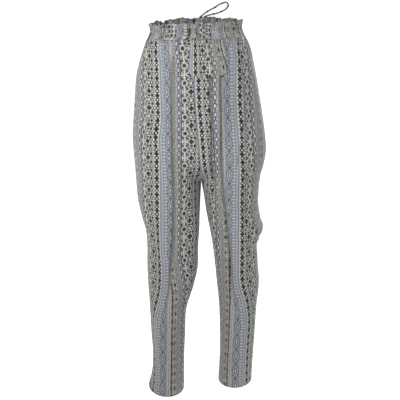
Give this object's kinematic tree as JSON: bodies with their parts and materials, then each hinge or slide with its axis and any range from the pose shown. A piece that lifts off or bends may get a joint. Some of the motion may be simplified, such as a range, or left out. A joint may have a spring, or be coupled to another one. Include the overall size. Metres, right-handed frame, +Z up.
{
  "type": "pajama pants",
  "caption": "Tapered pull-on pajama pants in worn form, with a gathered waistband, ruffled header, front placket and a drawstring loop.",
  "frame": {"origin": "middle of the waist opening, level with the middle of the elastic channel, where the wearer holds the pants up", "axes": "+Z up, the front faces -Y, and the wearer's right leg is on -X"},
  "size_m": [0.3662, 0.253, 1.097],
  "materials": {
    "front_cloth": "matte woven cloth",
    "back_cloth": "matte woven cloth",
    "band_cloth": "matte woven cloth",
    "placket_cloth": "matte woven cloth",
    "cord_cloth": "matte woven cloth"
  },
  "bodies": {
    "root": {"front_right_leg": "front_cloth", "front_left_leg": "front_cloth", "back_right_leg": "back_cloth", "back_left_leg": "back_cloth", "waistband": "band_cloth", "front_placket": "placket_cloth", "drawstring": "cord_cloth"}
  },
  "joints": []
}
